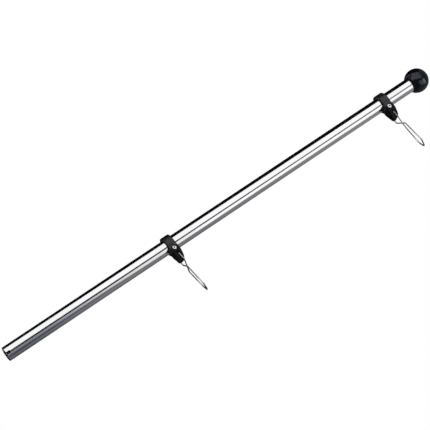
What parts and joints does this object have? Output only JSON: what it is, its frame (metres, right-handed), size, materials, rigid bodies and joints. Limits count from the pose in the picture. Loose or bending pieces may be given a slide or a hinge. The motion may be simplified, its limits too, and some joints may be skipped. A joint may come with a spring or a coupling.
{
  "type": "flagpole",
  "caption": "Tube flagpole with a ball finial and screw-clamped clips that carry bent wire hooks for a flag.",
  "frame": {"origin": "centre of the tube's flat lower end, where the pole stands in its bracket", "axes": "+Z along the pole to the ball; +X from the pole out along the upper clip's hook; -Y is the side of the upper clip's screw head"},
  "size_m": [0.1125, 0.0392, 0.7795],
  "materials": {
    "pole_aluminium": "polished, clear anodised",
    "ball_plastic": "high gloss black",
    "clip_plastic": "satin black moulding",
    "screw_steel": "bright plated steel",
    "nut_steel": "bright zinc plate",
    "wire_steel": "bright spring wire"
  },
  "bodies": {
    "pole": {"pole_tube": "pole_aluminium", "ball_finial": "ball_plastic"},
    "upper_clip": {"upper_clip": "clip_plastic", "upper_clamp_screw": "screw_steel", "upper_clamp_nut": "nut_steel", "upper_wire_hook": "wire_steel"},
    "lower_clip": {"lower_clip": "clip_plastic", "lower_clamp_screw": "screw_steel", "lower_clamp_nut": "nut_steel", "lower_wire_hook": "wire_steel"}
  },
  "joints": [
    {"name": "upper_clip_slide", "type": "slide", "parent": "pole", "child": "upper_clip", "axis": [0, 0, 1], "range_m": [-0.192, 0.04]},
    {"name": "lower_clip_slide", "type": "slide", "parent": "pole", "child": "lower_clip", "axis": [0, 0, 1], "range_m": [-0.265, 0.195]}
  ]
}
